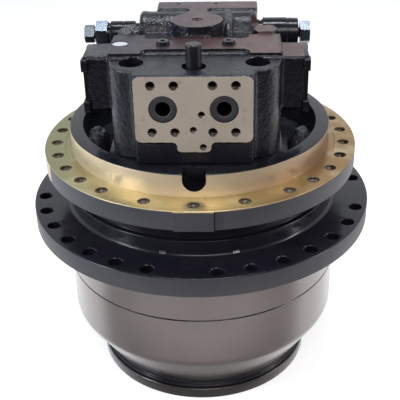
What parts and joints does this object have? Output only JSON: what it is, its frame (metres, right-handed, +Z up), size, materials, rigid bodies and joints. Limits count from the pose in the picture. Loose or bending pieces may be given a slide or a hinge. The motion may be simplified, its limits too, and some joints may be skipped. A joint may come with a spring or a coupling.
{
  "type": "excavator final drive",
  "caption": "Travel final drive for a crawler excavator: a hydraulic piston motor and valve casing on a planetary gearbox drum with a sprocket flange and a frame flange.",
  "frame": {"origin": "centre of the flat underside of the gearbox cover, on which the unit stands", "axes": "+Z up along the axis of the drive, from the cover to the valve casing; -Y is where the hose ports face; +X is right when looking at the ports"},
  "size_m": [0.4694, 0.4694, 0.5102],
  "materials": {
    "black_paint": "gloss black paint over rough castings",
    "drum_grey": "satin grey brown, turned",
    "gold_zinc": "gold brown passivated metal, turned",
    "bare_steel": "bare machined steel",
    "gear_steel": "oiled ground steel",
    "black_rubber": "matt",
    "bronze": "oiled bronze"
  },
  "bodies": {
    "still_casing": {"motor_casing": "gold_zinc", "bearing_nut": "bare_steel", "seal_ring_still": "bare_steel", "seal_rubber_still": "black_rubber", "upper_bearing_inner_race": "bare_steel", "lower_bearing_inner_race": "bare_steel", "carrier_2": "gear_steel", "planet_2_pin_a": "bare_steel", "planet_2_pin_b": "bare_steel", "planet_2_pin_c": "bare_steel", "shaft_bearing": "bare_steel", "swash_plate": "gear_steel", "valve_plate": "bronze", "valve_casing": "black_paint", "port_plug_left": "black_rubber", "port_plug_right": "black_rubber", "drain_plug": "black_rubber", "band_plug_left": "black_paint", "band_plug_right": "black_paint", "boss_plug": "black_paint", "blank_disc": "bare_steel", "relief_valve_left": "black_paint", "relief_valve_right": "black_paint", "relief_cap_left": "bare_steel", "relief_cap_right": "bare_steel", "spool_cap_left": "black_paint", "spool_cap_right": "black_paint", "casing_bolt_left": "bare_steel", "casing_bolt_right": "bare_steel", "casing_bolt_rear_left": "bare_steel", "casing_bolt_rear_right": "bare_steel"},
    "turning_hub": {"hub": "black_paint", "ring_gear": "drum_grey", "cover": "drum_grey", "fill_plug": "bare_steel", "level_plug": "bare_steel", "seal_ring_turning": "bare_steel", "seal_rubber_turning": "black_rubber", "upper_bearing_outer_race": "bare_steel", "lower_bearing_outer_race": "bare_steel"},
    "upper_roller_cage": {"upper_bearing_rollers": "bare_steel"},
    "lower_roller_cage": {"lower_bearing_rollers": "bare_steel"},
    "planet_2_a": {"planet_2_a": "gear_steel"},
    "planet_2_b": {"planet_2_b": "gear_steel"},
    "planet_2_c": {"planet_2_c": "gear_steel"},
    "first_carrier": {"carrier_1": "gear_steel", "sun_2": "gear_steel", "planet_1_pin_a": "bare_steel", "planet_1_pin_b": "bare_steel", "planet_1_pin_c": "bare_steel"},
    "planet_1_a": {"planet_1_a": "gear_steel"},
    "planet_1_b": {"planet_1_b": "gear_steel"},
    "planet_1_c": {"planet_1_c": "gear_steel"},
    "motor_rotor": {"sun_1": "gear_steel", "motor_shaft": "bare_steel", "pistons": "bronze", "cylinder_block": "gear_steel", "brake_disc": "bronze"},
    "brake_piston": {"brake_piston": "gear_steel"},
    "counterbalance_spool": {"counterbalance_spool": "bare_steel"}
  },
  "joints": [
    {"name": "hub_spin", "type": "hinge", "parent": "still_casing", "child": "turning_hub", "pos_m": [0, 0, 0.2452], "axis": [0, 0, 1], "continuous": true},
    {"name": "upper_cage_spin", "type": "hinge", "parent": "still_casing", "child": "upper_roller_cage", "pos_m": [0, 0, 0.2348], "axis": [0, 0, 1], "continuous": true},
    {"name": "lower_cage_spin", "type": "hinge", "parent": "still_casing", "child": "lower_roller_cage", "pos_m": [0, 0, 0.1972], "axis": [0, 0, 1], "continuous": true},
    {"name": "planet_2_a_spin", "type": "hinge", "parent": "still_casing", "child": "planet_2_a", "pos_m": [0, 0.099, 0.1366], "axis": [0, 0, 1], "continuous": true},
    {"name": "planet_2_b_spin", "type": "hinge", "parent": "still_casing", "child": "planet_2_b", "pos_m": [-0.08574, -0.0495, 0.1366], "axis": [0, 0, 1], "continuous": true},
    {"name": "planet_2_c_spin", "type": "hinge", "parent": "still_casing", "child": "planet_2_c", "pos_m": [0.08574, -0.0495, 0.1366], "axis": [0, 0, 1], "continuous": true},
    {"name": "first_carrier_spin", "type": "hinge", "parent": "still_casing", "child": "first_carrier", "pos_m": [0, 0, 0.1053], "axis": [0, 0, 1], "continuous": true},
    {"name": "planet_1_a_spin", "type": "hinge", "parent": "first_carrier", "child": "planet_1_a", "pos_m": [0, 0.099, 0.0907], "axis": [0, 0, 1], "continuous": true},
    {"name": "planet_1_b_spin", "type": "hinge", "parent": "first_carrier", "child": "planet_1_b", "pos_m": [-0.08574, -0.0495, 0.0907], "axis": [0, 0, 1], "continuous": true},
    {"name": "planet_1_c_spin", "type": "hinge", "parent": "first_carrier", "child": "planet_1_c", "pos_m": [0.08574, -0.0495, 0.0907], "axis": [0, 0, 1], "continuous": true},
    {"name": "motor_spin", "type": "hinge", "parent": "still_casing", "child": "motor_rotor", "pos_m": [0, 0, 0.29], "axis": [0, 0, 1], "continuous": true},
    {"name": "brake_piston_slide", "type": "slide", "parent": "still_casing", "child": "brake_piston", "axis": [0, 0, 1], "range_m": [0, 0.003]},
    {"name": "counterbalance_spool_slide", "type": "slide", "parent": "still_casing", "child": "counterbalance_spool", "axis": [1, 0, 0], "range_m": [-0.008, 0.008], "stiffness_N_per_m": 2000}
  ],
  "couplings": [
    {"joint": "upper_cage_spin", "follows": "hub_spin", "ratio": 0.52351},
    {"joint": "lower_cage_spin", "follows": "hub_spin", "ratio": 0.52351},
    {"joint": "planet_2_a_spin", "follows": "hub_spin", "ratio": 2.5714},
    {"joint": "planet_2_b_spin", "follows": "hub_spin", "ratio": 2.5714},
    {"joint": "planet_2_c_spin", "follows": "hub_spin", "ratio": 2.5714},
    {"joint": "first_carrier_spin", "follows": "hub_spin", "ratio": -4.5},
    {"joint": "planet_1_a_spin", "follows": "hub_spin", "ratio": 14.143},
    {"joint": "planet_1_b_spin", "follows": "hub_spin", "ratio": 14.143},
    {"joint": "planet_1_c_spin", "follows": "hub_spin", "ratio": 14.143},
    {"joint": "motor_spin", "follows": "hub_spin", "ratio": -29.25}
  ]
}
